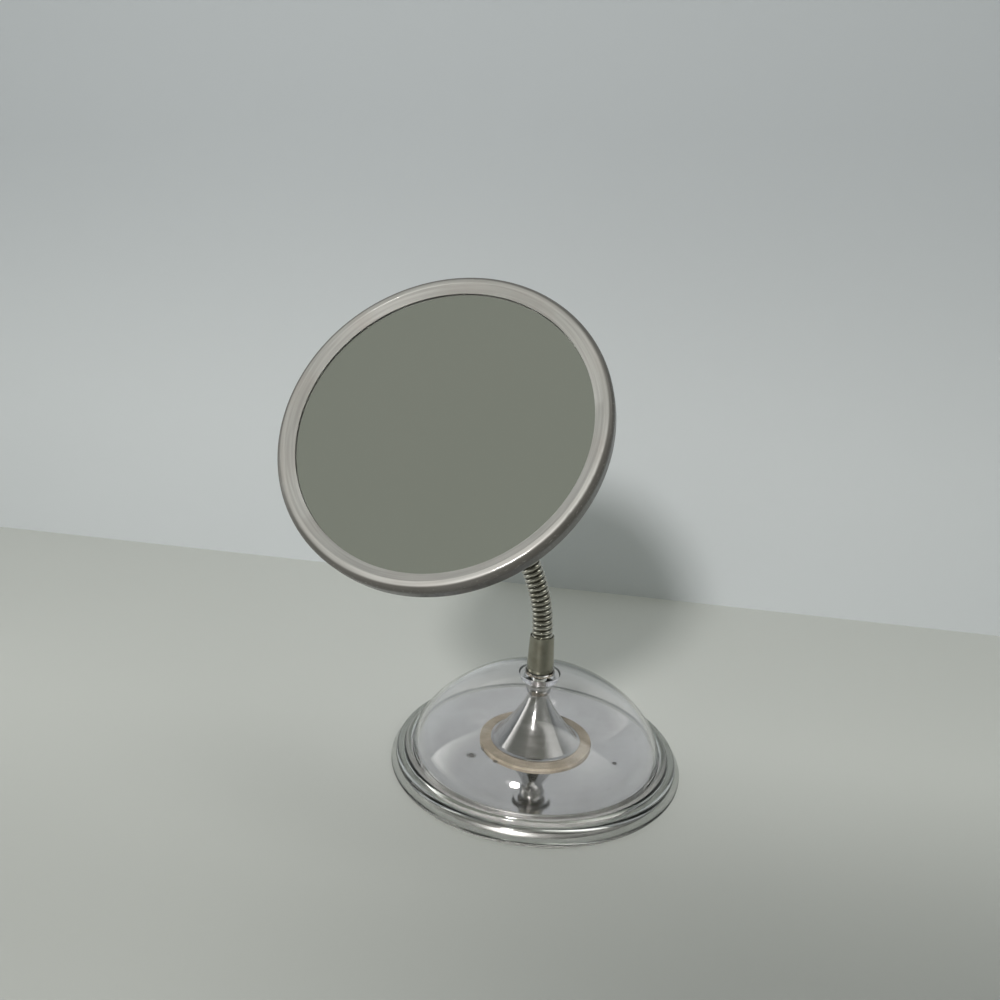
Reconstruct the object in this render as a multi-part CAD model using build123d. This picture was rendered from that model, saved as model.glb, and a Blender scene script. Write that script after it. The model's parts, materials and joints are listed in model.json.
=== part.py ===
"""Round table mirror on a wound flexible neck, standing on a clear domed foot.

Millimetres. +Z is up and -Y is towards the user. The origin is the centre of the foot on the table.
"""
from build123d import *
from math import acos, cos, degrees, pi, radians, sin, sqrt, tan, tau
import os

# ---------------------------------------------------------------- driving dimensions
# Foot, from the table up
FOOT_RING_SHOW = 2.0            # how far the ring stands out past the flange
FOOT_RING_HEIGHT = 1.5
FOOT_RING_LIP = 0.9
FOOT_RING_ROUND = 0.3
FOOT_RING_SEAT = 5.2            # width of the flange's bearing on the ring
FLANGE_WIDTH = 7.6              # from the dome's side
OUTER_BEAD_RADIUS = 2.1
INNER_BEAD_RADIUS = 1.9
BEAD_STEP = 1.5                 # how much higher the inner bead stands
BEAD_OVERLAP = 0.6
DOME_RADIUS = 57.4
DOME_WALL = 2.0
DOME_ROOT_HEIGHT = 5.5
DOME_HEIGHT = 43.5
DOME_FULLNESS = 0.44            # 0.55 is an ellipse, less is leaner
CROWN_SEAT_DEPTH = 3.0
CROWN_THICKNESS = 3.0
CROWN_BOSS_RADIUS = 8.5
PAD_THICKNESS = 1.5
BALLAST_THICKNESS = 4.5
BALLAST_POCKET_RADIUS = 8.5
BALLAST_CHAMFER = 0.5
REFLECTOR_THICKNESS = 0.6
FOAM_THICKNESS = 1.2
FOAM_RADIUS = 26.0
FOAM_HOLE_RADIUS = 17.0
TRUMPET_FOOT_RADIUS = 21.0
TRUMPET_NECK_RADIUS = 4.6
TRUMPET_WALL = 1.0
TRUMPET_LIP = 0.8
COLLAR_HEIGHT = 6.6
COLLAR_RADIUS = 5.9
COLLAR_END_RADIUS = 4.8

# Fasteners, for a 6 mm rod
ROD_RADIUS = 3.0
ROD_CHAMFER = 0.4
WASHER_RADIUS = 6.2
WASHER_THICKNESS = 1.0
NUT_ACROSS_FLATS = 10.0
NUT_HEIGHT = 3.2
ROD_OVERHANG = 0.3              # rod end past the nut
ROD_GRIP = 5.0                  # rod end inside a ferrule

# Ferrules
FERRULE_FOOT_RADIUS = 6.5
FERRULE_MOUTH_RADIUS = 5.55
FERRULE_FOOT_ROUND = 1.2
FERRULE_MOUTH_ROUND = 0.2
LOWER_FERRULE_LENGTH = 19.2
UPPER_FERRULE_LENGTH = 15.5
FERRULE_WEB = 2.0               # solid between the rod's hole and the neck's bore

# Neck
WIRE_RADIUS = 0.75
WIRE_SIDES = 8                  # the wire is eight-sided to keep the face count down
WINDING_RADIUS = 4.15           # to the wire's centre
WINDING_PITCH = 2.35
NECK_JOINTS = 12                # nodding and swinging pivots in turn
WIRE_END_GAP = 0.2              # from a wire end to its pivot plane

# Head, measured from the glass's front face along its normal
MIRROR_LEFT = 43.6              # its centre from the foot's, to the user's left
MIRROR_FORWARD = 44.8
MIRROR_HEIGHT = 159.4
MIRROR_ELEVATION = 33.6         # how far the mirror looks up
MIRROR_TURN = 13.2              # how far it looks to the user's left
BEZEL_RADIUS = 65.1
BEZEL_DEPTH = 9.0
BEZEL_WALL = 4.7
BEZEL_FRONT_ROUND = 2.6
BEZEL_BACK_ROUND = 2.4
LIP_RISE = 2.6
LIP_EDGE = 0.3
LIP_OVERLAP = 2.0               # lip over the glass
LIP_SLOPE_WIDTH = 3.3
LIP_ROUND = 0.4
GLASS_THICKNESS = 3.0
GLASS_BEVEL = 0.4
SILVER_THICKNESS = 0.15
BACKING_THICKNESS = 1.5
BACKING_MARGIN = 7.0            # from the glass's edge
SHELL_WALL = 2.0
SHELL_BULGE = 5.1
HEAD_BOSS_RADIUS = 8.5
HEAD_BOSS_HEIGHT = 2.0
HEAD_BOSS_ROUND = 0.6

# Clearances
ROD_CLEARANCE = 0.2
NECK_CLEARANCE = 0.25
GLASS_CLEARANCE = 0.4
SHELL_CLEARANCE = 0.2
DISC_CLEARANCE = 0.8
SEAT_CLEARANCE = 0.3
BORE_FLOOR_GAP = 0.05           # between the wire and the floor of a ferrule's bore

# ---------------------------------------------------------------- sizes that follow
BALLAST_BOTTOM = PAD_THICKNESS
REFLECTOR_BOTTOM = BALLAST_BOTTOM + BALLAST_THICKNESS
FOAM_BOTTOM = REFLECTOR_BOTTOM + REFLECTOR_THICKNESS
TRUMPET_BOTTOM = FOAM_BOTTOM + FOAM_THICKNESS
CROWN_SEAT_HEIGHT = DOME_HEIGHT - CROWN_SEAT_DEPTH
CROWN_UNDERSIDE = CROWN_SEAT_HEIGHT - CROWN_THICKNESS
TRUMPET_TOP = CROWN_UNDERSIDE - COLLAR_HEIGHT
CAVITY_RADIUS = DOME_RADIUS - DOME_WALL
FLANGE_RADIUS = DOME_RADIUS + FLANGE_WIDTH
FOOT_RING_RADIUS = FLANGE_RADIUS + FOOT_RING_SHOW
FOOT_RING_BORE = FLANGE_RADIUS - FOOT_RING_SEAT
ROD_HOLE = ROD_RADIUS + ROD_CLEARANCE
FERRULE_BORE = WINDING_RADIUS + WIRE_RADIUS + NECK_CLEARANCE

GLASS_SIGHT_RADIUS = BEZEL_RADIUS - BEZEL_WALL - GLASS_CLEARANCE - LIP_OVERLAP
GLASS_RADIUS = GLASS_SIGHT_RADIUS + LIP_OVERLAP
GLASS_BACK = -GLASS_THICKNESS
PAD_BACK = GLASS_BACK - SILVER_THICKNESS - BACKING_THICKNESS
BEZEL_BACK = LIP_RISE - BEZEL_DEPTH
BEZEL_BORE = BEZEL_RADIUS - BEZEL_WALL
SHELL_RADIUS = BEZEL_BORE - SHELL_CLEARANCE
SHELL_BACK = BEZEL_BACK - SHELL_BULGE
SHELL_FLOOR = SHELL_BACK + SHELL_WALL
HEAD_SEAT = SHELL_BACK - HEAD_BOSS_HEIGHT
UPPER_MOUTH = HEAD_SEAT - UPPER_FERRULE_LENGTH

MIRROR_CENTRE = Vector(-MIRROR_LEFT, -MIRROR_FORWARD, MIRROR_HEIGHT)
MIRROR_NORMAL = Vector(
    -sin(radians(MIRROR_TURN)) * cos(radians(MIRROR_ELEVATION)),
    -cos(radians(MIRROR_TURN)) * cos(radians(MIRROR_ELEVATION)),
    sin(radians(MIRROR_ELEVATION)),
)
ACROSS = Vector(cos(radians(MIRROR_TURN)), -sin(radians(MIRROR_TURN)), 0)
HEAD_PLANE = Plane(origin=MIRROR_CENTRE, x_dir=ACROSS, z_dir=MIRROR_NORMAL)


# ---------------------------------------------------------------- form helpers
def turned(profile):
    """Solid of revolution about Z from a face or closed outline in radius and height."""
    face = profile if profile.faces() else make_face(profile)
    return revolve(Plane.XZ * face, Axis.Z)


def rounded(points, rounds):
    """Closed outline through points, each corner rounded by its own radius."""
    return FilletPolyline(*points, radius=rounds, close=True)


def disc(radius, bottom, height):
    """Round plate or rod, from its bottom up."""
    return Pos(0, 0, bottom) * extrude(Circle(radius), height)


def ring(outer, inner, bottom, height):
    """Flat ring, or a plate with a hole, from its bottom up."""
    return Pos(0, 0, bottom) * extrude(Circle(outer) - Circle(inner), height)


# ---------------------------------------------------------------- foot
def make_foot_ring():
    top = FOOT_RING_HEIGHT
    return turned(rounded(
        [(FOOT_RING_BORE, 0), (FOOT_RING_RADIUS, 0), (FOOT_RING_RADIUS, FOOT_RING_LIP),
         (FLANGE_RADIUS, top), (FOOT_RING_BORE, top)],
        [0, FOOT_RING_ROUND, FOOT_RING_ROUND, 0, 0]))


def dome_outline(radius, height):
    """Closed half outline of a dome that stands on the flange."""
    rise = height - DOME_ROOT_HEIGHT
    flank = Bezier(
        (radius, DOME_ROOT_HEIGHT), (radius, DOME_ROOT_HEIGHT + DOME_FULLNESS * rise),
        (DOME_FULLNESS * radius, height), (0, height))
    foot = Polyline(
        (0, height), (0, FOOT_RING_HEIGHT), (radius, FOOT_RING_HEIGHT), (radius, DOME_ROOT_HEIGHT))
    return flank + foot


def make_flange():
    """Rim of two rounded beads, the inner one standing higher."""
    outer_centre = (FLANGE_RADIUS - OUTER_BEAD_RADIUS, FOOT_RING_HEIGHT + OUTER_BEAD_RADIUS)
    bead_step_in = OUTER_BEAD_RADIUS + INNER_BEAD_RADIUS - BEAD_OVERLAP
    inner_centre = (outer_centre[0] - bead_step_in, outer_centre[1] + BEAD_STEP)
    beads = Pos(*outer_centre) * Circle(OUTER_BEAD_RADIUS) + Pos(*inner_centre) * Circle(INNER_BEAD_RADIUS)
    web = make_face(Polyline(
        (DOME_RADIUS - DOME_WALL / 2, FOOT_RING_HEIGHT), (outer_centre[0], FOOT_RING_HEIGHT), outer_centre,
        inner_centre, (DOME_RADIUS - DOME_WALL / 2, DOME_ROOT_HEIGHT), close=True))
    return turned(beads + web)


def make_dome_cover():
    shell = turned(dome_outline(DOME_RADIUS, DOME_HEIGHT)) + make_flange()
    shell -= turned(dome_outline(CAVITY_RADIUS, DOME_HEIGHT - DOME_WALL))
    shell += ring(CROWN_BOSS_RADIUS, ROD_HOLE, CROWN_UNDERSIDE, DOME_HEIGHT - DOME_WALL / 2 - CROWN_UNDERSIDE)
    seat = disc(FERRULE_FOOT_RADIUS + SEAT_CLEARANCE, CROWN_SEAT_HEIGHT, DOME_HEIGHT - CROWN_SEAT_HEIGHT)
    hole = disc(ROD_HOLE, CROWN_UNDERSIDE, CROWN_THICKNESS)
    return shell - seat - hole


def make_bottom_pad():
    return disc(FOOT_RING_BORE - SEAT_CLEARANCE, 0, PAD_THICKNESS)


def make_ballast_plate():
    plate = ring(CAVITY_RADIUS - DISC_CLEARANCE, BALLAST_POCKET_RADIUS, BALLAST_BOTTOM, BALLAST_THICKNESS)
    return chamfer(plate.edges().filter_by(GeomType.CIRCLE).sort_by(SortBy.RADIUS)[-2:], BALLAST_CHAMFER)


def make_reflector_plate():
    return ring(CAVITY_RADIUS - DISC_CLEARANCE / 2, ROD_HOLE, REFLECTOR_BOTTOM, REFLECTOR_THICKNESS)


def make_foam_washer():
    return ring(FOAM_RADIUS, FOAM_HOLE_RADIUS, FOAM_BOTTOM, FOAM_THICKNESS)


def make_trumpet():
    """Flared bell: its flank is one arc that leaves the neck upright."""
    lip_top = TRUMPET_BOTTOM + TRUMPET_LIP
    spread = TRUMPET_FOOT_RADIUS - TRUMPET_NECK_RADIUS
    drop = TRUMPET_TOP - lip_top
    flare = (spread**2 + drop**2) / (2 * spread)
    centre = TRUMPET_NECK_RADIUS + flare
    inside = flare + TRUMPET_WALL
    foot_inside = centre - sqrt(inside**2 - (TRUMPET_TOP - TRUMPET_BOTTOM)**2)
    down = (0, -1)
    outside_arc = TangentArc((TRUMPET_NECK_RADIUS, TRUMPET_TOP), (TRUMPET_FOOT_RADIUS, lip_top), tangent=down)
    inside_arc = TangentArc((centre - inside, TRUMPET_TOP), (foot_inside, TRUMPET_BOTTOM), tangent=down)
    ends = Polyline(
        (TRUMPET_FOOT_RADIUS, lip_top), (TRUMPET_FOOT_RADIUS, TRUMPET_BOTTOM), (foot_inside, TRUMPET_BOTTOM))
    top = Line((TRUMPET_NECK_RADIUS, TRUMPET_TOP), (centre - inside, TRUMPET_TOP))
    return turned(outside_arc + ends + inside_arc + top)


def make_spacer_collar():
    middle = (COLLAR_RADIUS, TRUMPET_TOP + COLLAR_HEIGHT / 2)
    belly = ThreePointArc((COLLAR_END_RADIUS, TRUMPET_TOP), middle, (COLLAR_END_RADIUS, CROWN_UNDERSIDE))
    bore = Polyline(
        (COLLAR_END_RADIUS, CROWN_UNDERSIDE), (ROD_HOLE, CROWN_UNDERSIDE), (ROD_HOLE, TRUMPET_TOP),
        (COLLAR_END_RADIUS, TRUMPET_TOP))
    return turned(belly + bore)


# ---------------------------------------------------------------- fasteners and ferrules
def make_nut(bottom):
    """Hexagon nut with its corners turned off at 30 degrees on both faces."""
    flat = NUT_ACROSS_FLATS / 2
    spread = flat + NUT_HEIGHT / 2 / tan(pi / 6)
    middle, top = bottom + NUT_HEIGHT / 2, bottom + NUT_HEIGHT
    hexagon = Pos(0, 0, bottom) * extrude(RegularPolygon(flat, 6, major_radius=False), NUT_HEIGHT)
    cones = turned(Polyline((0, bottom), (flat, bottom), (spread, middle), (flat, top), (0, top), close=True))
    return (hexagon & cones) - disc(ROD_RADIUS, bottom, NUT_HEIGHT)


def make_rod(bottom, top):
    rod = disc(ROD_RADIUS, bottom, top - bottom)
    return chamfer(rod.edges().filter_by(GeomType.CIRCLE), ROD_CHAMFER)


def make_ferrule(length):
    """Tapered sleeve with its foot at height 0: bored for the neck above and for the rod below."""
    bore_floor = ROD_GRIP + FERRULE_WEB
    return turned(rounded(
        [(0, ROD_GRIP), (ROD_RADIUS, ROD_GRIP), (ROD_RADIUS, 0), (FERRULE_FOOT_RADIUS, 0),
         (FERRULE_MOUTH_RADIUS, length), (FERRULE_BORE, length), (FERRULE_BORE, bore_floor), (0, bore_floor)],
        [0, 0, 0, FERRULE_FOOT_ROUND, FERRULE_MOUTH_ROUND, 0, 0, 0]))


# ---------------------------------------------------------------- neck
def biarc(start, start_dir, end, end_dir):
    """Point and direction where two tangent arcs from start to end meet."""
    span = end - start
    ahead = span.dot(start_dir + end_dir)
    opening = 2 * (1 - start_dir.dot(end_dir)) * span.dot(span)
    reach = span.dot(span) / (ahead + sqrt(ahead * ahead + opening))
    first, last = start + start_dir * reach, end - end_dir * reach
    return (first + last) / 2, (last - first).normalized()


def arc_stretch(start, start_dir, end):
    """Length, turning axis and curvature of the arc that leaves start along start_dir."""
    chord = end - start
    half_turn = acos(start_dir.dot(chord.normalized()))
    curvature = 2 * sin(half_turn) / chord.length
    return 2 * half_turn / curvature, start_dir.cross(chord).normalized(), curvature


NECK_START = Vector(0, 0, CROWN_SEAT_HEIGHT + ROD_GRIP + FERRULE_WEB)
LOWER_MOUTH_POINT = Vector(0, 0, CROWN_SEAT_HEIGHT + LOWER_FERRULE_LENGTH)
UPPER_MOUTH_POINT = MIRROR_CENTRE + MIRROR_NORMAL * UPPER_MOUTH
MEETING_POINT, MEETING_DIR = biarc(LOWER_MOUTH_POINT, Vector(0, 0, 1), UPPER_MOUTH_POINT, MIRROR_NORMAL)
LOWER_GRIP = (LOWER_MOUTH_POINT - NECK_START).length
UPPER_GRIP = UPPER_FERRULE_LENGTH - ROD_GRIP - FERRULE_WEB
STRETCHES = [
    (LOWER_GRIP, Vector(1, 0, 0), 0.0),
    arc_stretch(LOWER_MOUTH_POINT, Vector(0, 0, 1), MEETING_POINT),
    arc_stretch(MEETING_POINT, MEETING_DIR, UPPER_MOUTH_POINT),
    (UPPER_GRIP, Vector(1, 0, 0), 0.0),
]
NECK_LENGTH = sum(length for length, _, _ in STRETCHES)
FREE_LENGTH = NECK_LENGTH - LOWER_GRIP - UPPER_GRIP


def neck_frame(distance):
    """Place, three directions, turning axis and curvature at a distance along the neck's centre line."""
    place = NECK_START
    directions = [Vector(1, 0, 0), Vector(0, 1, 0), Vector(0, 0, 1)]
    for length, axis, curvature in STRETCHES:
        step = min(distance, length)
        if curvature:
            centre = place + axis.cross(directions[2]) / curvature
            turn = degrees(curvature * step)
            place = centre + (place - centre).rotate(Axis((0, 0, 0), axis), turn)
            directions = [d.rotate(Axis((0, 0, 0), axis), turn) for d in directions]
        else:
            place = place + directions[2] * step
        distance -= step
        if distance <= 0:
            break
    return place, directions, axis, curvature


def winding_point(angle):
    """Point and direction of the wire's centre line at a winding angle in radians."""
    place, (right, forward, along), axis, curvature = neck_frame(WINDING_PITCH * angle / tau)
    arm = right * (WINDING_RADIUS * cos(angle)) + forward * (WINDING_RADIUS * sin(angle))
    round_dir = forward * (WINDING_RADIUS * cos(angle)) - right * (WINDING_RADIUS * sin(angle))
    climb = (along + axis.cross(arm) * curvature) * (WINDING_PITCH / tau)
    return place + arm, (round_dir + climb).normalized()


def joint_distance(index):
    """Distance along the neck of a pivot, counted from 0."""
    return LOWER_GRIP + (index + 0.5) * FREE_LENGTH / NECK_JOINTS


def joint_place_and_axis(index):
    """Even pivots nod about the mirror's crosswise direction, odd ones swing at right angles to it."""
    place, (_, _, along), _, _ = neck_frame(joint_distance(index))
    nod_axis = (ACROSS - along * ACROSS.dot(along)).normalized()
    return place, nod_axis if index % 2 == 0 else along.cross(nod_axis)


def make_neck_segment(start, end):
    """One unbroken wire wound round the centre line, on two tangent arcs for each half turn."""
    first, last = start * tau / WINDING_PITCH, end * tau / WINDING_PITCH
    steps = max(1, round((last - first) / pi))
    stations = [winding_point(first + (last - first) * i / steps) for i in range(steps + 1)]
    edges = []
    for (near, near_dir), (far, far_dir) in zip(stations, stations[1:]):
        middle, middle_dir = biarc(near, near_dir, far, far_dir)
        edges.append(TangentArc(near, middle, tangent=near_dir))
        edges.append(TangentArc(middle, far, tangent=middle_dir))
    section = Plane(origin=stations[0][0], z_dir=stations[0][1]) * RegularPolygon(WIRE_RADIUS, WIRE_SIDES)
    return sweep(section, path=Wire(edges))


def wire_gap():
    """Least gap between neighbouring turns, measured on points along the whole winding."""
    per_turn = 24
    count = int(NECK_LENGTH / WINDING_PITCH * per_turn)
    points = [winding_point(i * tau / per_turn)[0] for i in range(count)]
    nearest = min(
        (points[i] - points[j]).length
        for i in range(count) for j in range(i + per_turn // 2, min(i + 2 * per_turn, count)))
    return nearest - 2 * WIRE_RADIUS


def make_neck_segments():
    cuts = [joint_distance(i) for i in range(NECK_JOINTS)]
    end_gap = WIRE_END_GAP * WINDING_PITCH / (tau * WINDING_RADIUS)
    starts = [WIRE_RADIUS + BORE_FLOOR_GAP] + [cut + end_gap for cut in cuts]
    ends = [cut - end_gap for cut in cuts] + [NECK_LENGTH - WIRE_RADIUS - BORE_FLOOR_GAP]
    return {
        f"neck_segment_{number:02d}": make_neck_segment(start, end)
        for number, (start, end) in enumerate(zip(starts, ends), 1)
    }


# ---------------------------------------------------------------- head, about Z with the glass at height 0
def make_bezel():
    slope_top = GLASS_SIGHT_RADIUS + LIP_SLOPE_WIDTH
    return turned(rounded(
        [(GLASS_SIGHT_RADIUS, 0), (GLASS_SIGHT_RADIUS, LIP_EDGE), (slope_top, LIP_RISE),
         (BEZEL_RADIUS, LIP_RISE), (BEZEL_RADIUS, BEZEL_BACK), (BEZEL_BORE, BEZEL_BACK), (BEZEL_BORE, 0)],
        [0, 0, LIP_ROUND, BEZEL_FRONT_ROUND, BEZEL_BACK_ROUND, 0, 0]))


def make_mirror_glass():
    glass = disc(GLASS_RADIUS, GLASS_BACK, GLASS_THICKNESS)
    return chamfer(glass.edges().filter_by(GeomType.CIRCLE), GLASS_BEVEL)


def make_silvering():
    return disc(GLASS_RADIUS - GLASS_BEVEL, GLASS_BACK - SILVER_THICKNESS, SILVER_THICKNESS)


def make_backing_pad():
    return disc(GLASS_RADIUS - BACKING_MARGIN, PAD_BACK, BACKING_THICKNESS)


def bowed_dish(radius, back, top):
    """Solid with a bowed back and an upright side."""
    edge = back + SHELL_BULGE
    bow = ThreePointArc((-radius, edge), (0, back), (radius, edge))
    right_half = split(bow, bisect_by=Plane.YZ, keep=Keep.TOP)
    return turned(right_half + Polyline((radius, edge), (radius, top), (0, top), (0, back)))


def make_back_shell():
    lip_top = GLASS_BACK - SILVER_THICKNESS
    bowl = bowed_dish(SHELL_RADIUS, SHELL_BACK, lip_top)
    bowl -= bowed_dish(SHELL_RADIUS - SHELL_WALL, SHELL_FLOOR, lip_top)
    boss_root = SHELL_BACK + SHELL_WALL / 2
    boss = turned(rounded(
        [(0, HEAD_SEAT), (HEAD_BOSS_RADIUS, HEAD_SEAT), (HEAD_BOSS_RADIUS + HEAD_BOSS_ROUND, boss_root),
         (0, boss_root)], [0, HEAD_BOSS_ROUND, 0, 0]))
    rod_hole = disc(ROD_HOLE, HEAD_SEAT, SHELL_FLOOR - HEAD_SEAT)
    spot_face = disc(WASHER_RADIUS + SEAT_CLEARANCE, SHELL_FLOOR, WASHER_THICKNESS)
    return bowl + boss - rod_hole - spot_face


def head_parts():
    flipped = Plane.XY.offset(HEAD_SEAT) * Rot(180, 0, 0)
    washer_bottom = SHELL_FLOOR
    nut_bottom = washer_bottom + WASHER_THICKNESS
    return {
        "bezel": make_bezel(),
        "mirror_glass": make_mirror_glass(),
        "silvering": make_silvering(),
        "backing_pad": make_backing_pad(),
        "back_shell": make_back_shell(),
        "head_washer": ring(WASHER_RADIUS, ROD_HOLE, washer_bottom, WASHER_THICKNESS),
        "head_nut": make_nut(nut_bottom),
        "head_stud": make_rod(HEAD_SEAT - ROD_GRIP, nut_bottom + NUT_HEIGHT + ROD_OVERHANG),
        "upper_ferrule": flipped * make_ferrule(UPPER_FERRULE_LENGTH),
    }


def foot_parts():
    washer_bottom = REFLECTOR_BOTTOM - WASHER_THICKNESS
    nut_bottom = washer_bottom - NUT_HEIGHT
    return {
        "foot_ring": make_foot_ring(),
        "dome_cover": make_dome_cover(),
        "bottom_pad": make_bottom_pad(),
        "ballast_plate": make_ballast_plate(),
        "reflector_plate": make_reflector_plate(),
        "foam_washer": make_foam_washer(),
        "trumpet": make_trumpet(),
        "spacer_collar": make_spacer_collar(),
        "base_washer": ring(WASHER_RADIUS, ROD_HOLE, washer_bottom, WASHER_THICKNESS),
        "base_nut": make_nut(nut_bottom),
        "base_stud": make_rod(nut_bottom - ROD_OVERHANG, CROWN_SEAT_HEIGHT + ROD_GRIP),
        "lower_ferrule": Pos(0, 0, CROWN_SEAT_HEIGHT) * make_ferrule(LOWER_FERRULE_LENGTH),
    }


# ---------------------------------------------------------------- assembly
PARTS = foot_parts() | make_neck_segments() | {
    name: HEAD_PLANE.location * part for name, part in head_parts().items()
}

os.makedirs("parts", exist_ok=True)
for name, part in PARTS.items():
    export_step(part, f"parts/{name}.step")

print(f"neck {NECK_LENGTH:.1f} long, {NECK_LENGTH / WINDING_PITCH:.1f} turns, least gap {wire_gap():.2f}")
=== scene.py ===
import json
from math import acos, cos, pi, radians, sin, sqrt, tau

import bpy
from mathutils import Matrix, Vector


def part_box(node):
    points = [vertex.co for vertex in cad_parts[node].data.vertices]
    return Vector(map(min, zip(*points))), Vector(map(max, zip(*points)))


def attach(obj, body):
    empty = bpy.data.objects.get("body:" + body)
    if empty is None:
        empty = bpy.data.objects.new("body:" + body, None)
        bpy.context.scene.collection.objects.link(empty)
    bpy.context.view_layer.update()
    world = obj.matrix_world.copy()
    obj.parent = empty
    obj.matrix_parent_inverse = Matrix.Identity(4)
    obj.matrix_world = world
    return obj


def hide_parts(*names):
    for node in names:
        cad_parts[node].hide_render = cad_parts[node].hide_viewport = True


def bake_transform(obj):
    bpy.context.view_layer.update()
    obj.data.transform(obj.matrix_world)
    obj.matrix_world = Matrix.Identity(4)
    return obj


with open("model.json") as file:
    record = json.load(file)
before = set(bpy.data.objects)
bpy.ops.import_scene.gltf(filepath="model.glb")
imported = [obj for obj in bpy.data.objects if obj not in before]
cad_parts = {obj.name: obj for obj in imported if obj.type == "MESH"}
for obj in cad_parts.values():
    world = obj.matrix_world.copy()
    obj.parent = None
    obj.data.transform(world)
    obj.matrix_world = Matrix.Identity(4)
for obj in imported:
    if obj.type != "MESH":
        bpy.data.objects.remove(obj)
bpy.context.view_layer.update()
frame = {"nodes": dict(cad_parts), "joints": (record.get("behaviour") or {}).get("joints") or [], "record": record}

NODES = frame["nodes"]
UP = Vector((0, 0, 1))
MM = 0.001


# ---------------------------------------------------------------- places taken from the frame
def middle(node):
    low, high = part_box(node)
    return (low + high) / 2


def along_head(node):
    """Distances of a node's points from the glass's middle, forwards along the mirror's axis."""
    return [(v.co - GLASS_CENTRE).dot(FACING) for v in NODES[node].data.vertices]


def from_axis(node):
    """Distances of a node's points from the mirror's axis."""
    return [(v.co - GLASS_CENTRE).cross(FACING).length for v in NODES[node].data.vertices]


GLASS_CENTRE = middle("mirror_glass")
FACING = (GLASS_CENTRE - middle("head_washer")).normalized()
ACROSS = UP.cross(FACING).normalized()
UPRIGHT = FACING.cross(ACROSS)
LOWER_MOUTH = Vector((0, 0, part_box("lower_ferrule")[1].z))
UPPER_MOUTH = GLASS_CENTRE + FACING * min(along_head("upper_ferrule"))
GLASS_FRONT = GLASS_CENTRE + FACING * max(along_head("mirror_glass"))
GLASS_RADIUS = max(from_axis("mirror_glass"))
COAT_BACK = min(along_head("silvering")) - max(along_head("mirror_glass"))
RIM_RADIUS = max(from_axis("bezel"))
DISC_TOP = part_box("reflector_plate")[1].z

# ---------------------------------------------------------------- driving values, in metres
WIRE_RADIUS = 0.96 * MM
WINDING_RADIUS = 3.94 * MM
PITCH = 2.35 * MM
TURN_STEPS = 28                 # points of a turn
WIRE_SIDES = 14
CORE_RADIUS = 4.15 * MM         # winding of the thin wire that fills the groove
CORE_WIRE_RADIUS = 0.3 * MM
CORE_SIDES = 8
CORE_LEAD = 0.5                 # of a turn, ahead of the thick wire
GRIP = 6.5 * MM                 # winding hidden in each ferrule
BEND_MARGIN = 0.15              # of a length, in from each end where its neighbour joins

BELL_TOP = 0.78                 # of the collar's radius
BELL_FOOT = 20.9 * MM
BELL_WAIST = 19.4 * MM          # where the flank turns out into the lip
BELL_LIP_RISE = 0.9 * MM
BELL_LIP_DROP = 0.7             # how much of its rise the lip loses as it turns out
BELL_WALL = 0.8 * MM
BELL_FLARE = 1.38               # 1 is a straight cone
FLANK_STEPS = 24
LIP_STEPS = 6
SHEET_THICKNESS = 0.8 * MM      # glass in front of the silver coat
SHEET_EDGE = 0.15 * MM
CLEAR_GAP = 0.02 * MM           # air between a clear piece and what it touches
LATHE_STEPS = 160
TURNED_CREASE = 30              # degrees between faces from which a turned edge is sharp
WIRE_CREASE = 50

DOME_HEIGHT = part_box("dome_cover")[1].z
DOME_RADIUS = 57.4 * MM
DOME_WALL = 2.0 * MM
DOME_ROOT = 5.4 * MM
DOME_FULLNESS = 0.44            # 0.55 is an ellipse, less is leaner
DOME_STEPS = 48
SEAT_RADIUS = 6.8 * MM
SEAT_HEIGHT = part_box("lower_ferrule")[0].z - CLEAR_GAP
SEAT_EDGE = 0.3 * MM            # eased edge between the seat and the crown
BOSS_RADIUS = 8.5 * MM
BOSS_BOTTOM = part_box("spacer_collar")[1].z + CLEAR_GAP
ROD_HOLE = 3.2 * MM
OUTER_BEAD = (62.9 * MM, 3.62 * MM)
OUTER_BEAD_RADIUS = 2.1 * MM
OUTER_BEAD_ARC = (135, -90, 20)     # degrees it starts and ends at, and its steps
INNER_BEAD = (59.5 * MM, 5.12 * MM)
INNER_BEAD_RADIUS = 1.9 * MM
INNER_BEAD_ARC = (172, -1, 16)
RING_BORE = 59.8 * MM
RING_SHOW = 2.0 * MM            # how far the ring stands out past the flange
RING_LIP = 0.9 * MM
RING_EASE = 0.2 * MM

CAMERA_PLACE = Vector((0, -320.2, 196.2)) * MM
CAMERA_YAW = radians(-4.03)
CAMERA_DOWN = radians(13.11)
CAMERA_ROLL = radians(3.02)
CAMERA_LENS = 27
CAMERA_NEAR = 10 * MM

LAMP_BEARING = radians(-15)     # from the user's side, to the left
LAMP_HEIGHT = radians(31)
LAMP_DISTANCE = 1.2
LAMP_SIZE = 0.18
LAMP_POWER = 9.5
LAMP_COLOUR = (1.0, 0.985, 0.95)

FLOOR_DROP = 0.2 * MM           # keeps the floor clear of the foot's underside
WALL_PLACE = Vector((0, 236, 0)) * MM
WALL_TURN = radians(-5.6)
STAGE_SIZE = 6.0
# pale and dark ends of the table's painted shade
TABLE_PALE, TABLE_DARK = (0.632, 0.646, 0.626, 1), (0.326, 0.337, 0.326, 1)
# pale and dark ends of the backdrop's painted shade
WALL_PALE, WALL_DARK = (0.685, 0.716, 0.752, 1), (0.50, 0.53, 0.567, 1)

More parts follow.
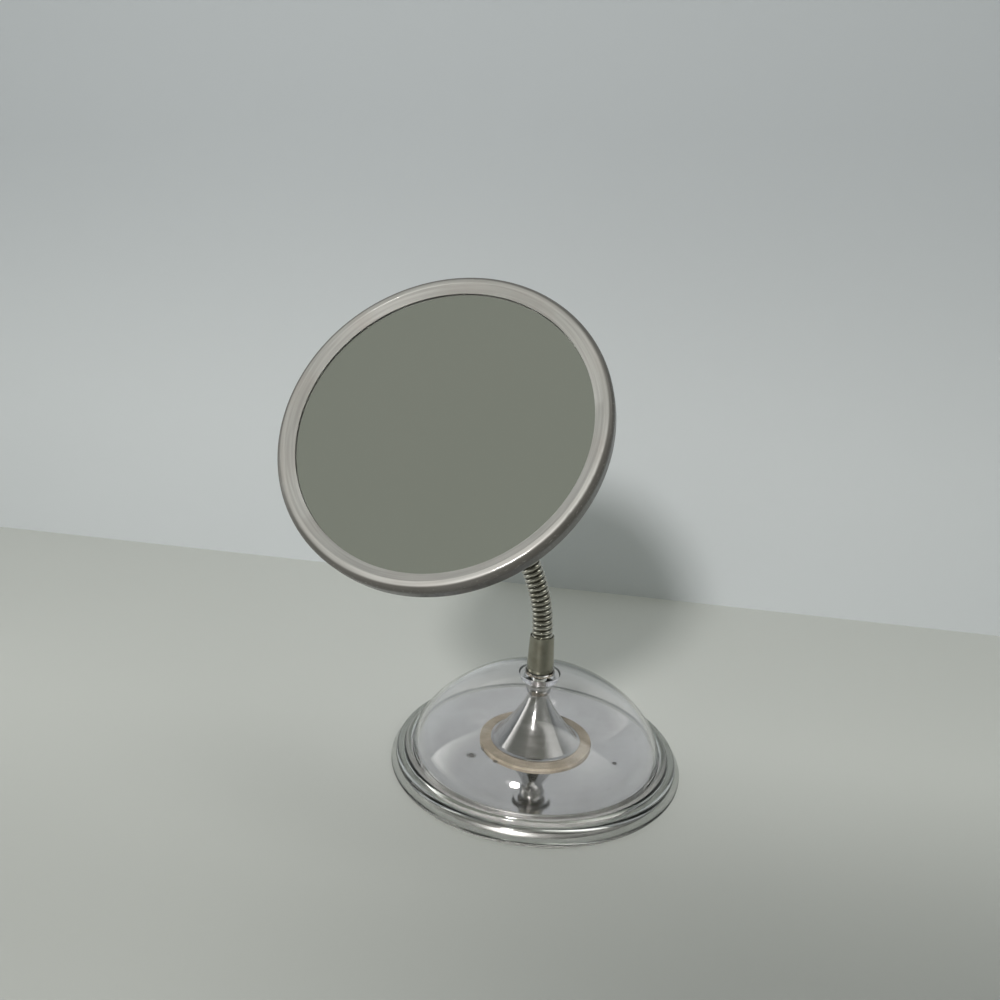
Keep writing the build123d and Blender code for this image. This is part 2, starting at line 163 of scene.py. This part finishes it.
ROOM_PALE_WAY = Vector((-0.5, 0.3, 0.81))       # where the room's light comes from
ROOM_DARK_WAY = Vector((-0.35, -0.75, 0.56))    # the room's darker side, which the glass faces
ROOM_PALE, ROOM_DARK = (2.6, 2.64, 2.5, 1), (0.222, 0.232, 0.200, 1)
ROOM_SEEN = (0.50, 0.52, 0.51, 1)               # what the camera sees past the stage

# ---------------------------------------------------------------- colours of the finishes
SHADOW_TINT = (0.9, 0.9, 0.9, 1)
# the second tint is painted shade that greys the dome's flange
PLASTIC_CLEAR, PLASTIC_FLANGE_SHADE = (0.965, 0.955, 0.97, 1), (0.70, 0.715, 0.70, 1)
GLASS_CLEAR = (0.975, 0.985, 0.975, 1)
COAT_DEEP, COAT_PALE = (0.86, 0.87, 0.85, 1), (0.90, 0.90, 0.89, 1)
FOAM_DEEP, FOAM_PALE = (0.235, 0.205, 0.155, 1), (0.33, 0.295, 0.235, 1)
FOAM_PORE = (0.17, 0.145, 0.11, 1)
NICKEL_PALE, NICKEL_TARNISH = (0.30, 0.29, 0.24, 1), (0.23, 0.215, 0.17, 1)
WIRE_PALE, WIRE_TARNISH = (0.50, 0.49, 0.44, 1), (0.38, 0.36, 0.30, 1)
# the core wire's near-black is painted shade in the grooves between the turns
CORE_SHADE_PALE, CORE_SHADE_TARNISH = (0.10, 0.097, 0.08, 1), (0.06, 0.056, 0.045, 1)
# the rim's side colour is painted shade
RIM_CLOUD, RIM_SIDE_SHADE = (0.36, 0.325, 0.305, 1), (0.078, 0.071, 0.064, 1)
PLASTIC_INDEX = 1.49
GLASS_INDEX = 1.52
# radii over which painted shade comes in: grey on the dome's flange, and dark on the rim's side
FLANGE_SHADE_RADII = (DOME_RADIUS, DOME_RADIUS + 1.5 * MM)
RIM_SHADE_TURN = (RIM_RADIUS - 2.5 * MM, RIM_RADIUS - 1.5 * MM)
SCUFFED_EDGE = (RIM_RADIUS - 1.5 * MM, RIM_RADIUS)
WORN_SPOTS = [                  # place on the silver disc, and radius
    (-27.0 * MM, -18.0 * MM, 2.6 * MM), (-21.5 * MM, -12.0 * MM, 2.2 * MM),
    (-16.0 * MM, -21.0 * MM, 1.6 * MM), (37.0 * MM, -14.0 * MM, 1.6 * MM)]
RAGGEDNESS = 2.0 * MM           # how far noise moves a worn spot's edge


# ---------------------------------------------------------------- shader writing
class Value:
    """What a socket gives: sums written on it add Math nodes."""

    def __init__(self, paint, socket):
        self.paint, self.socket = paint, socket

    def maths(self, operation, *values):
        return self.paint.add("ShaderNodeMath", {"operation": operation}, dict(enumerate(values)))

    def __add__(self, other):
        return self.maths("ADD", self, other)

    def __sub__(self, other):
        return self.maths("SUBTRACT", self, other)

    def __rsub__(self, other):
        return self.maths("SUBTRACT", other, self)

    def __mul__(self, other):
        return self.maths("MULTIPLY", self, other)

    def __truediv__(self, other):
        return self.maths("DIVIDE", self, other)

    def __pow__(self, other):
        return self.maths("POWER", self, other)

    __radd__ = __add__
    __rmul__ = __mul__

    def most(self, other):
        return self.maths("MAXIMUM", self, other)

    def rise(self, start, end):
        """0 below start and 1 above end, smooth between."""
        settings = {"interpolation_type": "SMOOTHSTEP"}
        return self.paint.add("ShaderNodeMapRange", settings, {0: self, 1: start, 2: end})

    def fall(self, start, end):
        return 1 - self.rise(start, end)


class Paint:
    """The nodes of one material or of the world."""

    def __init__(self, owner):
        owner.use_nodes = True
        self.owner = owner
        self.tree = owner.node_tree
        self.tree.nodes.clear()

    def add(self, kind, settings, sockets, output=0):
        """A node of any type: its settings first, then the values or links of its sockets."""
        node = self.tree.nodes.new(kind)
        for name, setting in settings.items():
            setattr(node, name, setting)
        for key, value in sockets.items():
            if isinstance(value, Value):
                self.tree.links.new(value.socket, node.inputs[key])
            else:
                node.inputs[key].default_value = value
        return Value(self, node.outputs[output]) if len(node.outputs) else None

    def place(self):
        """The point of the piece at rest, in the row frame."""
        return self.add("ShaderNodeTexCoord", {}, {}, "Object")

    def vector(self, operation, first, second, output=0):
        settings = {"operation": operation}
        return self.add("ShaderNodeVectorMath", settings, {0: first, 1: second}, output)

    def dot(self, first, second):
        return self.vector("DOT_PRODUCT", first, second, "Value")

    def distance(self, first, second):
        return self.vector("DISTANCE", first, second, "Value")

    def joined(self, x, y, z):
        return self.add("ShaderNodeCombineXYZ", {}, {0: x, 1: y, 2: z})

    def noise(self, point, scale, detail):
        sockets = {"Vector": point, "Scale": scale, "Detail": detail}
        return self.add("ShaderNodeTexNoise", {}, sockets)

    def mix(self, factor, first, second):
        """Colour between two colours."""
        return self.add("ShaderNodeMix", {"data_type": "RGBA"}, {0: factor, 6: first, 7: second}, 2)

    def bump(self, height, depth, strength):
        sockets = {"Height": height, "Distance": depth, "Strength": strength}
        return self.add("ShaderNodeBump", {}, sockets)

    def surface(self, sockets):
        return self.add("ShaderNodeBsdfPrincipled", {}, sockets)

    def mix_shader(self, factor, first, second):
        return self.add("ShaderNodeMixShader", {}, {0: factor, 1: first, 2: second})

    def done(self, shader):
        world = isinstance(self.owner, bpy.types.World)
        self.add("ShaderNodeOutputWorld" if world else "ShaderNodeOutputMaterial", {}, {0: shader})
        return self.owner


def new_paint(name):
    return Paint(bpy.data.materials.new(name))


def grey(level, warmth=0.0):
    """Nearly neutral colour; warmth above 0 leans to tan."""
    return (level * (1 + warmth), level, level * (1 - 1.6 * warmth), 1)


# ---------------------------------------------------------------- finishes
def see_through(paint, surface):
    """Clear material that lets the lamp light what lies behind it."""
    shadow = paint.add("ShaderNodeBsdfTransparent", {}, {"Color": SHADOW_TINT})
    is_shadow = paint.add("ShaderNodeLightPath", {}, {}, "Is Shadow Ray")
    return paint.done(paint.mix_shader(is_shadow, surface, shadow))


def clear_plastic():
    """Moulded clear plastic, a little hazy and scratched, with shade painted grey into its flange."""
    paint = new_paint("clear_plastic")
    place = paint.place()
    haze = paint.noise(place, 55, 4)
    from_middle = paint.distance(paint.vector("MULTIPLY", place, (1, 1, 0)), (0, 0, 0))
    scratches = paint.noise(paint.vector("MULTIPLY", place, (900, 140, 900)), 1.0, 2)
    surface = paint.surface({
        # painted shade: the flange is tinted grey
        "Base Color": paint.mix(from_middle.rise(*FLANGE_SHADE_RADII), PLASTIC_CLEAR, PLASTIC_FLANGE_SHADE),
        "Roughness": haze.rise(0.35, 0.8) * 0.05 + 0.012,
        "IOR": PLASTIC_INDEX,
        "Transmission Weight": 1.0,
        "Normal": paint.bump(scratches, 0.004 * MM, 0.3),
    })
    return see_through(paint, surface)


def clear_glass():
    paint = new_paint("clear_glass")
    smears = paint.noise(paint.place(), 25, 3)
    surface = paint.surface({
        "Base Color": GLASS_CLEAR,
        "Roughness": smears.rise(0.45, 0.75) * 0.006,
        "IOR": GLASS_INDEX,
        "Transmission Weight": 1.0,
    })
    return see_through(paint, surface)


def mirror_coat():
    paint = new_paint("mirror_coat")
    ageing = paint.noise(paint.place(), 12, 4)
    surface = paint.surface({
        "Base Color": paint.mix(ageing, COAT_DEEP, COAT_PALE),
        "Metallic": 1.0,
        "Roughness": ageing * 0.004,
    })
    return paint.done(surface)


def silvered_plate():
    """Silver disc, nearly a mirror, with a mottled surface and a few worn spots."""
    paint = new_paint("silvered_plate")
    place = paint.place()
    mottle = paint.noise(place, 38, 5)
    moved = paint.joined(paint.noise(place, 420, 2) * RAGGEDNESS, 0, 0)
    ragged = paint.vector("ADD", place, moved)
    freckles = paint.noise(place, 260, 2).rise(0.70, 0.78) * mottle.rise(0.52, 0.6)
    worn = freckles * 0.5
    for x, y, radius in WORN_SPOTS:
        spot = paint.distance(ragged, (x, y, DISC_TOP)).fall(radius * 0.4, radius)
        worn = worn.most(spot)
    tone = paint.mix(mottle.rise(0.3, 0.7), grey(0.70, 0.01), grey(0.78, 0.005))
    surface = paint.surface({
        "Base Color": paint.mix(worn, tone, grey(0.22, 0.03)),
        "Metallic": 1.0,
        "Roughness": mottle.rise(0.3, 0.8) * 0.05 + worn * 0.3 + 0.04,
    })
    return paint.done(surface)


def tan_foam():
    paint = new_paint("tan_foam")
    place = paint.place()
    cells = paint.noise(place, 1500, 3)
    patches = paint.noise(place, 130, 3)
    tone = paint.mix(patches.rise(0.35, 0.7), FOAM_DEEP, FOAM_PALE)
    surface = paint.surface({
        "Base Color": paint.mix(cells.rise(0.4, 0.7) * 0.5, tone, FOAM_PORE),
        "Roughness": 0.85,
        "Normal": paint.bump(cells, 0.15 * MM, 0.6),
    })
    return paint.done(surface)


def bright_chrome():
    paint = new_paint("bright_chrome")
    place = paint.place()
    polish = paint.noise(paint.vector("MULTIPLY", place, (1, 1, 14)), 60, 4)
    surface = paint.surface({
        "Base Color": paint.mix(polish, grey(0.46, 0.01), grey(0.56)),
        "Metallic": 1.0,
        "Roughness": polish.rise(0.3, 0.75) * 0.07 + 0.07,
    })
    return paint.done(surface)


def satin_nickel():
    """Turned and plated sleeve: fine rings round it, an olive cast."""
    paint = new_paint("satin_nickel")
    place = paint.place()
    turned = paint.noise(paint.vector("MULTIPLY", place, (60, 60, 4200)), 1.0, 2)
    tarnish = paint.noise(place, 190, 4)
    surface = paint.surface({
        "Base Color": paint.mix(tarnish.rise(0.35, 0.75), NICKEL_PALE, NICKEL_TARNISH),
        "Metallic": 1.0,
        "Roughness": tarnish * 0.07 + turned * 0.03 + 0.03,
        "Normal": paint.bump(turned, 0.006 * MM, 0.5),
    })
    return paint.done(surface)


def plated_steel(name, bright, dull, roughness):
    """Plated steel with tarnished patches, for the wires, fasteners and ballast."""
    paint = new_paint(name)
    place = paint.place()
    tarnish = paint.noise(place, 320, 4)
    drawn = paint.noise(place, 2400, 2)
    surface = paint.surface({
        "Base Color": paint.mix(tarnish.rise(0.4, 0.75), bright, dull),
        "Metallic": 1.0,
        "Roughness": tarnish * 0.12 + roughness,
        "Normal": paint.bump(drawn, 0.01 * MM, 0.4),
    })
    return paint.done(surface)


def head_coordinates(paint):
    """Distance from the mirror's axis, direction round it and depth, for one point of the head."""
    arm = paint.vector("SUBTRACT", paint.place(), tuple(GLASS_CENTRE))
    across, upright = paint.dot(arm, tuple(ACROSS)), paint.dot(arm, tuple(UPRIGHT))
    radius = (across * across + upright * upright) ** 0.5
    return radius, across / radius, upright / radius, paint.dot(arm, tuple(FACING))


def silver_rim():
    """Silver finished plastic: soft streaks run round it, and its side is scuffed and painted dark as shade."""
    paint = new_paint("silver_rim")
    radius, turn_x, turn_y, depth = head_coordinates(paint)
    profile = radius * 900 + depth * 500
    streaks = paint.noise(paint.joined(turn_x * 2.2, turn_y * 2.2, profile), 1.0, 3)
    clouds = paint.noise(paint.place(), 45, 4)
    rubbed = paint.noise(paint.joined(turn_x * 60, turn_y * 60, depth * 2600), 1.0, 3)
    scuffs = rubbed.rise(0.58, 0.7)
    outer = radius.rise(*SCUFFED_EDGE)
    # painted shade: the rim darkens towards its side
    side_shade = radius.rise(*RIM_SHADE_TURN)
    tone = paint.mix(streaks.rise(0.3, 0.7), grey(0.33, 0.02), grey(0.43, 0.015))
    tone = paint.mix(clouds.rise(0.45, 0.75) * 0.4, tone, RIM_CLOUD)
    tone = paint.mix(side_shade * (1 - streaks * 0.2), tone, RIM_SIDE_SHADE)
    surface = paint.surface({
        "Base Color": paint.mix(scuffs * outer * 0.35, tone, grey(0.55, 0.02)),
        "Metallic": 0.35,
        "Roughness": streaks * 0.12 + clouds * 0.08 + scuffs * outer * 0.15 + 0.36,
        "Coat Weight": 0.5,
        "Coat Roughness": 0.06,
        "Normal": paint.bump(streaks + scuffs * outer * 0.4, 0.02 * MM, 0.35),
    })
    return paint.done(surface)


def moulded(name, first, second, roughness, grain, depth):
    """Matt moulded or sprayed material with a fine grain."""
    paint = new_paint(name)
    place = paint.place()
    fine = paint.noise(place, grain, 3)
    broad = paint.noise(place, 40, 3)
    surface = paint.surface({
        "Base Color": paint.mix(broad.rise(0.3, 0.7), first, second),
        "Roughness": fine * 0.15 + roughness,
        "Normal": paint.bump(fine, depth, 0.5),
    })
    return paint.done(surface)


FINISHES = {
    "clear_plastic": clear_plastic(),
    "silvered_plate": silvered_plate(),
    "ballast": plated_steel("ballast", grey(0.52, 0.01), grey(0.40, 0.02), 0.3),
    "soft_pad": moulded("soft_pad", grey(0.34, 0.01), grey(0.40, 0.01), 0.8, 2200, 0.1 * MM),
    "tan_foam": tan_foam(),
    "bright_chrome": bright_chrome(),
    "satin_nickel": satin_nickel(),
    "plain_steel": plated_steel("plain_steel", grey(0.55, 0.01), grey(0.42, 0.02), 0.25),
    "silver_rim": silver_rim(),
    "clear_glass": clear_glass(),
    "mirror_coat": mirror_coat(),
    "rear_plastic": moulded(
        "rear_plastic", grey(0.33, 0.02), grey(0.37, 0.015), 0.38, 1400, 0.03 * MM),
}
NECK_WIRE = plated_steel("neck_wire", WIRE_PALE, WIRE_TARNISH, 0.02)
# painted shade: the core wire fills the grooves with near-black
NECK_CORE_SHADE = plated_steel("neck_core_shade", CORE_SHADE_PALE, CORE_SHADE_TARNISH, 0.35)

for subpart in frame["record"]["subparts"]:
    slots = NODES[subpart["node"]].data.materials
    slots.clear()
    slots.append(FINISHES[subpart["material_slot"]])


# ---------------------------------------------------------------- neck
def biarc(start, start_way, end, end_way):
    """Point and direction where two tangent arcs from start to end meet."""
    span = end - start
    ahead = span.dot(start_way + end_way)
    opening = 2 * (1 - start_way.dot(end_way)) * span.dot(span)
    reach = span.dot(span) / (ahead + sqrt(ahead * ahead + opening))
    first, last = start + start_way * reach, end - end_way * reach
    return (first + last) / 2, (last - first).normalized()


def arc_stretch(start, way, end):
    """Length, turning axis and curvature of the arc that leaves start along way."""
    chord = end - start
    half_turn = acos(way.dot(chord.normalized()))
    curvature = 2 * sin(half_turn) / chord.length
    return 2 * half_turn / curvature, way.cross(chord).normalized(), curvature


MEETING, MEETING_WAY = biarc(LOWER_MOUTH, UP, UPPER_MOUTH, FACING)
STRETCHES = [
    (GRIP, ACROSS, 0.0),
    arc_stretch(LOWER_MOUTH, UP, MEETING),
    arc_stretch(MEETING, MEETING_WAY, UPPER_MOUTH),
    (GRIP, ACROSS, 0.0),
]
NECK_LENGTH = sum(length for length, _, _ in STRETCHES)
JOINTS = frame["joints"]
LENGTH_STEP = (NECK_LENGTH - 2 * GRIP) / len(JOINTS)


def neck_frame(distance):
    """Place and crosswise, forward and onward directions at a distance along the neck."""
    place = LOWER_MOUTH - UP * GRIP
    ways = Matrix.Identity(3)
    for length, axis, curvature in STRETCHES:
        step = min(distance, length)
        if curvature:
            centre = place + axis.cross(ways.col[2]) / curvature
            turn = Matrix.Rotation(curvature * step, 3, axis)
            place = centre + turn @ (place - centre)
            ways = turn @ ways
        else:
            place = place + ways.col[2] * step
        distance -= step
        if distance <= 0:
            break
    return place, ways.col[0], ways.col[1], ways.col[2]


def wire_ring(distance, winding, lead, wire, sides):
    """Points round a wire's section where it passes a distance along the neck."""
    place, right, forward, onward = neck_frame(distance)
    turn = tau * (distance / PITCH + lead)
    outward = right * cos(turn) + forward * sin(turn)
    round_neck = forward * cos(turn) - right * sin(turn)
    sideways = (onward - round_neck * (PITCH / (tau * winding))).normalized()
    centre = place + outward * winding
    return [
        centre + outward * (wire * cos(tau * i / sides)) + sideways * (wire * sin(tau * i / sides))
        for i in range(sides)]


def add_wire(points, faces, marks, mark, start, end, winding, lead, wire, sides):
    """Closed tube of one wire between two distances, added to the lists of a mesh."""
    steps = round((end - start) / PITCH * TURN_STEPS)
    first = len(points)
    for i in range(steps + 1):
        points.extend(wire_ring(start + (end - start) * i / steps, winding, lead, wire, sides))
    rings = [[first + i * sides + k for k in range(sides)] for i in range(steps + 1)]
    for near, far in zip(rings, rings[1:]):
        faces.extend((near[k - 1], far[k - 1], far[k], near[k]) for k in range(sides))
    faces.append(tuple(rings[0]))
    faces.append(tuple(reversed(rings[-1])))
    marks.extend([mark] * (len(faces) - len(marks)))


def make_piece(name, points, faces, marks, materials, crease):
    """Smooth piece with sharp edges where its faces meet at more than crease degrees."""
    mesh = bpy.data.meshes.new(name)
    mesh.from_pydata(points, [], faces)
    for material in materials:
        mesh.materials.append(material)
    mesh.polygons.foreach_set("material_index", marks)
    mesh.polygons.foreach_set("use_smooth", [True] * len(faces))
    mesh.set_sharp_from_angle(angle=radians(crease))
    mesh.validate()
    piece = bpy.data.objects.new(name, mesh)
    bpy.context.scene.collection.objects.link(piece)
    return piece


def make_neck():
    """The wound neck in as many lengths as it has pivots."""
    wires = [(WINDING_RADIUS, 0.0, WIRE_RADIUS, WIRE_SIDES),
             (CORE_RADIUS, CORE_LEAD, CORE_WIRE_RADIUS, CORE_SIDES)]
    margin = BEND_MARGIN * LENGTH_STEP
    for number, joint in enumerate(JOINTS):
        start = GRIP + number * LENGTH_STEP
        end = start + LENGTH_STEP
        from_here = 0.0 if number == 0 else start
        to_here = NECK_LENGTH if number == len(JOINTS) - 1 else end
        points, faces, marks = [], [], []
        for mark, wire in enumerate(wires):
            add_wire(points, faces, marks, mark, from_here, to_here, *wire)
        name = f"neck_winding_{number + 1:02d}"
        piece = make_piece(name, points, faces, marks, [NECK_WIRE, NECK_CORE_SHADE], WIRE_CREASE)
        neck_frame(start + margin)[0]
        neck_frame(end - margin)[0]
        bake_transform(piece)
        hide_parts(f"neck_segment_{number + 1:02d}")
        if number == len(JOINTS) - 1:
            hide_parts(f"neck_segment_{number + 2:02d}")


make_neck()


# ---------------------------------------------------------------- bell and clear pieces
def bell_profile():
    """Radius and height round the bell's wall: down its flank, round the lip and up its inside."""
    low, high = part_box("trumpet")
    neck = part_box("spacer_collar")[1].x * BELL_TOP
    foot, drop = low.z, high.z - low.z - BELL_LIP_RISE
    flank = []
    for i in range(FLANK_STEPS + 1):
        flare = (BELL_WAIST - neck) * (i / FLANK_STEPS) ** BELL_FLARE
        flank.append((neck + flare, high.z - drop * i / FLANK_STEPS))
    lip = []
    for i in range(1, LIP_STEPS + 1):
        turn = radians(90 * i / LIP_STEPS)
        rise = BELL_LIP_RISE * (1 - BELL_LIP_DROP * sin(turn / 2) * sin(turn))
        lip.append((BELL_WAIST + (BELL_FOOT - BELL_WAIST) * sin(turn), foot + rise))
    inside = [(radius - BELL_WALL, height) for radius, height in flank[::-1]]
    return flank + lip + [(BELL_FOOT, foot), (BELL_WAIST - BELL_WALL, foot)] + inside


def make_turned(name, profile, material):
    """Closed lathe piece round the upright axis from its outline; points on the axis become one."""
    points, faces, columns = [], [], []
    for radius, height in profile:
        turns = [tau * i / LATHE_STEPS for i in range(LATHE_STEPS)] if radius else [0.0]
        columns.append([len(points) + i for i in range(len(turns))])
        points.extend((radius * cos(turn), radius * sin(turn), height) for turn in turns)
    for here, there in zip(columns, columns[1:] + columns[:1]):
        for i in range(LATHE_STEPS):
            onward = (i + 1) % LATHE_STEPS
            corners = [here[i % len(here)], there[i % len(there)],
                       there[onward % len(there)], here[onward % len(here)]]
            corners = list(dict.fromkeys(corners))
            if len(corners) > 2:
                faces.append(corners)
    return make_piece(name, points, faces, [0] * len(faces), [material], TURNED_CREASE)


def plate_profile(radius, front, back, edge):
    """Outline of a round plate with eased edges."""
    return [(0.0, front), (radius - edge, front), (radius, front - edge), (radius, back + edge),
            (radius - edge, back), (0.0, back)]


def dome_flank(radius, height):
    """Dome's outline from its crown down to its root."""
    rise = height - DOME_ROOT
    handles = [(0.0, height), (DOME_FULLNESS * radius, height),
               (radius, DOME_ROOT + DOME_FULLNESS * rise), (radius, DOME_ROOT)]
    flank = []
    for i in range(DOME_STEPS + 1):
        t = i / DOME_STEPS
        shares = [(1 - t) ** 3, 3 * t * (1 - t) ** 2, 3 * t * t * (1 - t), t ** 3]
        pairs = list(zip(shares, handles))
        flank.append(tuple(sum(share * handle[k] for share, handle in pairs) for k in (0, 1)))
    return flank


def arc_points(centre, radius, start, end, steps):
    """Points round a circle's part, its angles in degrees from outwards to upwards."""
    turns = [radians(start + (end - start) * i / steps) for i in range(steps + 1)]
    return [(centre[0] + radius * cos(turn), centre[1] + radius * sin(turn)) for turn in turns]


def dome_profile():
    """Wall of the dome with its crown seat and boss, and the flange of two beads round its foot."""
    outside = [point for point in dome_flank(DOME_RADIUS, DOME_HEIGHT) if point[0] > SEAT_RADIUS]
    inside = [point for point in dome_flank(DOME_RADIUS - DOME_WALL, DOME_HEIGHT - DOME_WALL)
              if point[0] > BOSS_RADIUS]
    seat = [(ROD_HOLE, SEAT_HEIGHT), (SEAT_RADIUS, SEAT_HEIGHT),
            (SEAT_RADIUS, DOME_HEIGHT - SEAT_EDGE)]
    beads = arc_points(INNER_BEAD, INNER_BEAD_RADIUS, *INNER_BEAD_ARC)
    beads += arc_points(OUTER_BEAD, OUTER_BEAD_RADIUS, *OUTER_BEAD_ARC)
    cavity = [(DOME_RADIUS - DOME_WALL, OUTER_BEAD[1] - OUTER_BEAD_RADIUS)] + inside[::-1]
    boss = [(BOSS_RADIUS, BOSS_BOTTOM), (ROD_HOLE, BOSS_BOTTOM)]
    return seat + outside + beads + cavity + boss


def foot_ring_profile():
    low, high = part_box("foot_ring")
    top, rim = high.z - CLEAR_GAP, high.x
    return [(RING_BORE, top), (rim - RING_SHOW, top), (rim - RING_EASE, RING_LIP),
            (rim, RING_LIP - RING_EASE), (rim, low.z + RING_EASE), (rim - RING_EASE, low.z),
            (RING_BORE, low.z)]


def placed(ways, place):
    """Matrix that turns x, y and z to three directions and moves the origin to a place."""
    return Matrix.Translation(place) @ Matrix(ways).transposed().to_4x4()


def add_turned(name, profile, slot, body, node, place=Matrix.Identity(4)):
    """Turned piece that rides on a body and stands for a node."""
    piece = make_turned(name, profile, FINISHES[slot])
    piece.data.transform(place)
    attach(piece, body)
    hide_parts(node)


HEAD_PLACE = placed((ACROSS, UPRIGHT, FACING), GLASS_FRONT)
SHEET = plate_profile(GLASS_RADIUS, -CLEAR_GAP, CLEAR_GAP - SHEET_THICKNESS, SHEET_EDGE)
COAT = plate_profile(GLASS_RADIUS, -SHEET_THICKNESS, COAT_BACK, SHEET_EDGE)
add_turned("bell", bell_profile(), "bright_chrome", "base", "trumpet")
add_turned("glass_sheet", SHEET, "clear_glass", "head", "mirror_glass", HEAD_PLACE)
add_turned("silver_coat", COAT, "mirror_coat", "head", "silvering", HEAD_PLACE)
add_turned("dome", dome_profile(), "clear_plastic", "base", "dome_cover")
add_turned("ring_under_flange", foot_ring_profile(), "clear_plastic", "base", "foot_ring")


# ---------------------------------------------------------------- stage, light and camera
def table_shade(paint, place):
    """Painted shade on the table top: how far it has darkened, towards its front right corner."""
    front = paint.dot(place, (0, 1, 0)).fall(-0.14, 0.03)
    return front * (paint.dot(place, (1, 0, 0)).rise(-0.14, 0.10) * 0.5 + 0.5)


def wall_shade(paint, place):
    """Painted shade on the backdrop: how far it has darkened, upwards."""
    return paint.dot(place, (0, 1, 0)).rise(0.08, 0.36)


def stage_paint(name, shade, pale, dark, roughness):
    """Stage surface, plain but for the painted shade its shade function gives, that is not seen from its back."""
    paint = new_paint(name)
    place = paint.place()
    cloth = paint.noise(place, 2.2, 3).rise(0.3, 0.7)
    surface = paint.surface({
        "Base Color": paint.mix(shade(paint, place) + cloth * 0.06, pale, dark),
        "Roughness": roughness,
    })
    gone = paint.add("ShaderNodeBsdfTransparent", {}, {})
    behind = paint.add("ShaderNodeNewGeometry", {}, {}, "Backfacing")
    return paint.done(paint.mix_shader(behind, surface, gone))


def add_stage(name, matrix, material):
    half = STAGE_SIZE / 2
    corners = [(-half, -half, 0), (half, -half, 0), (half, half, 0), (-half, half, 0)]
    mesh = bpy.data.meshes.new(name)
    mesh.from_pydata(corners, [], [(0, 1, 2, 3)])
    mesh.materials.append(material)
    stage = bpy.data.objects.new(name, mesh)
    stage.matrix_world = matrix
    bpy.context.scene.collection.objects.link(stage)


def add_lamp():
    toward = Vector((
        sin(LAMP_BEARING) * cos(LAMP_HEIGHT),
        -cos(LAMP_BEARING) * cos(LAMP_HEIGHT),
        sin(LAMP_HEIGHT)))
    data = bpy.data.lights.new("lamp", "AREA")
    data.shape = "DISK"
    data.size = LAMP_SIZE
    data.energy = LAMP_POWER
    data.color = LAMP_COLOUR
    lamp = bpy.data.objects.new("lamp", data)
    lamp.location = GLASS_CENTRE + toward * LAMP_DISTANCE
    lamp.rotation_euler = toward.to_track_quat("Z", "Y").to_euler()
    bpy.context.scene.collection.objects.link(lamp)


def set_world():
    """Soft room light: pale from above and behind, darker on the camera's side."""
    world = bpy.data.worlds.new("room")
    bpy.context.scene.world = world
    paint = Paint(world)
    way = paint.add("ShaderNodeTexCoord", {}, {}, "Generated")
    open_side = paint.dot(way, tuple(ROOM_PALE_WAY)).rise(-0.3, 0.8)
    lit = open_side * paint.dot(way, tuple(ROOM_DARK_WAY)).fall(0.3, 0.75)
    seen = paint.add("ShaderNodeLightPath", {}, {}, "Is Camera Ray")
    colour = paint.mix(seen, paint.mix(lit, ROOM_DARK, ROOM_PALE), ROOM_SEEN)
    paint.done(paint.add("ShaderNodeBackground", {}, {"Color": colour, "Strength": 1.0}))


def add_camera():
    ahead = Vector((
        sin(CAMERA_YAW) * cos(CAMERA_DOWN),
        cos(CAMERA_YAW) * cos(CAMERA_DOWN),
        -sin(CAMERA_DOWN)))
    level = Vector((cos(CAMERA_YAW), -sin(CAMERA_YAW), 0))
    above = level.cross(ahead)
    right = level * cos(CAMERA_ROLL) + above * sin(CAMERA_ROLL)
    top = above * cos(CAMERA_ROLL) - level * sin(CAMERA_ROLL)
    data = bpy.data.cameras.new("camera")
    data.lens = CAMERA_LENS
    data.clip_start = CAMERA_NEAR
    camera = bpy.data.objects.new("camera", data)
    camera.matrix_world = placed((right, top, -ahead), CAMERA_PLACE)
    bpy.context.scene.collection.objects.link(camera)
    bpy.context.scene.camera = camera


STANDING = Matrix.Rotation(WALL_TURN, 4, "Z") @ Matrix.Rotation(pi / 2, 4, "X")
add_stage("floor", Matrix.Translation((0, 0, -FLOOR_DROP)),
          stage_paint("table_top", table_shade, TABLE_PALE, TABLE_DARK, 0.6))
add_stage("backdrop", Matrix.Translation(WALL_PLACE) @ STANDING,
          stage_paint("backdrop", wall_shade, WALL_PALE, WALL_DARK, 0.8))
add_lamp()
set_world()
add_camera()
bpy.context.scene.view_settings.view_transform = "Standard"
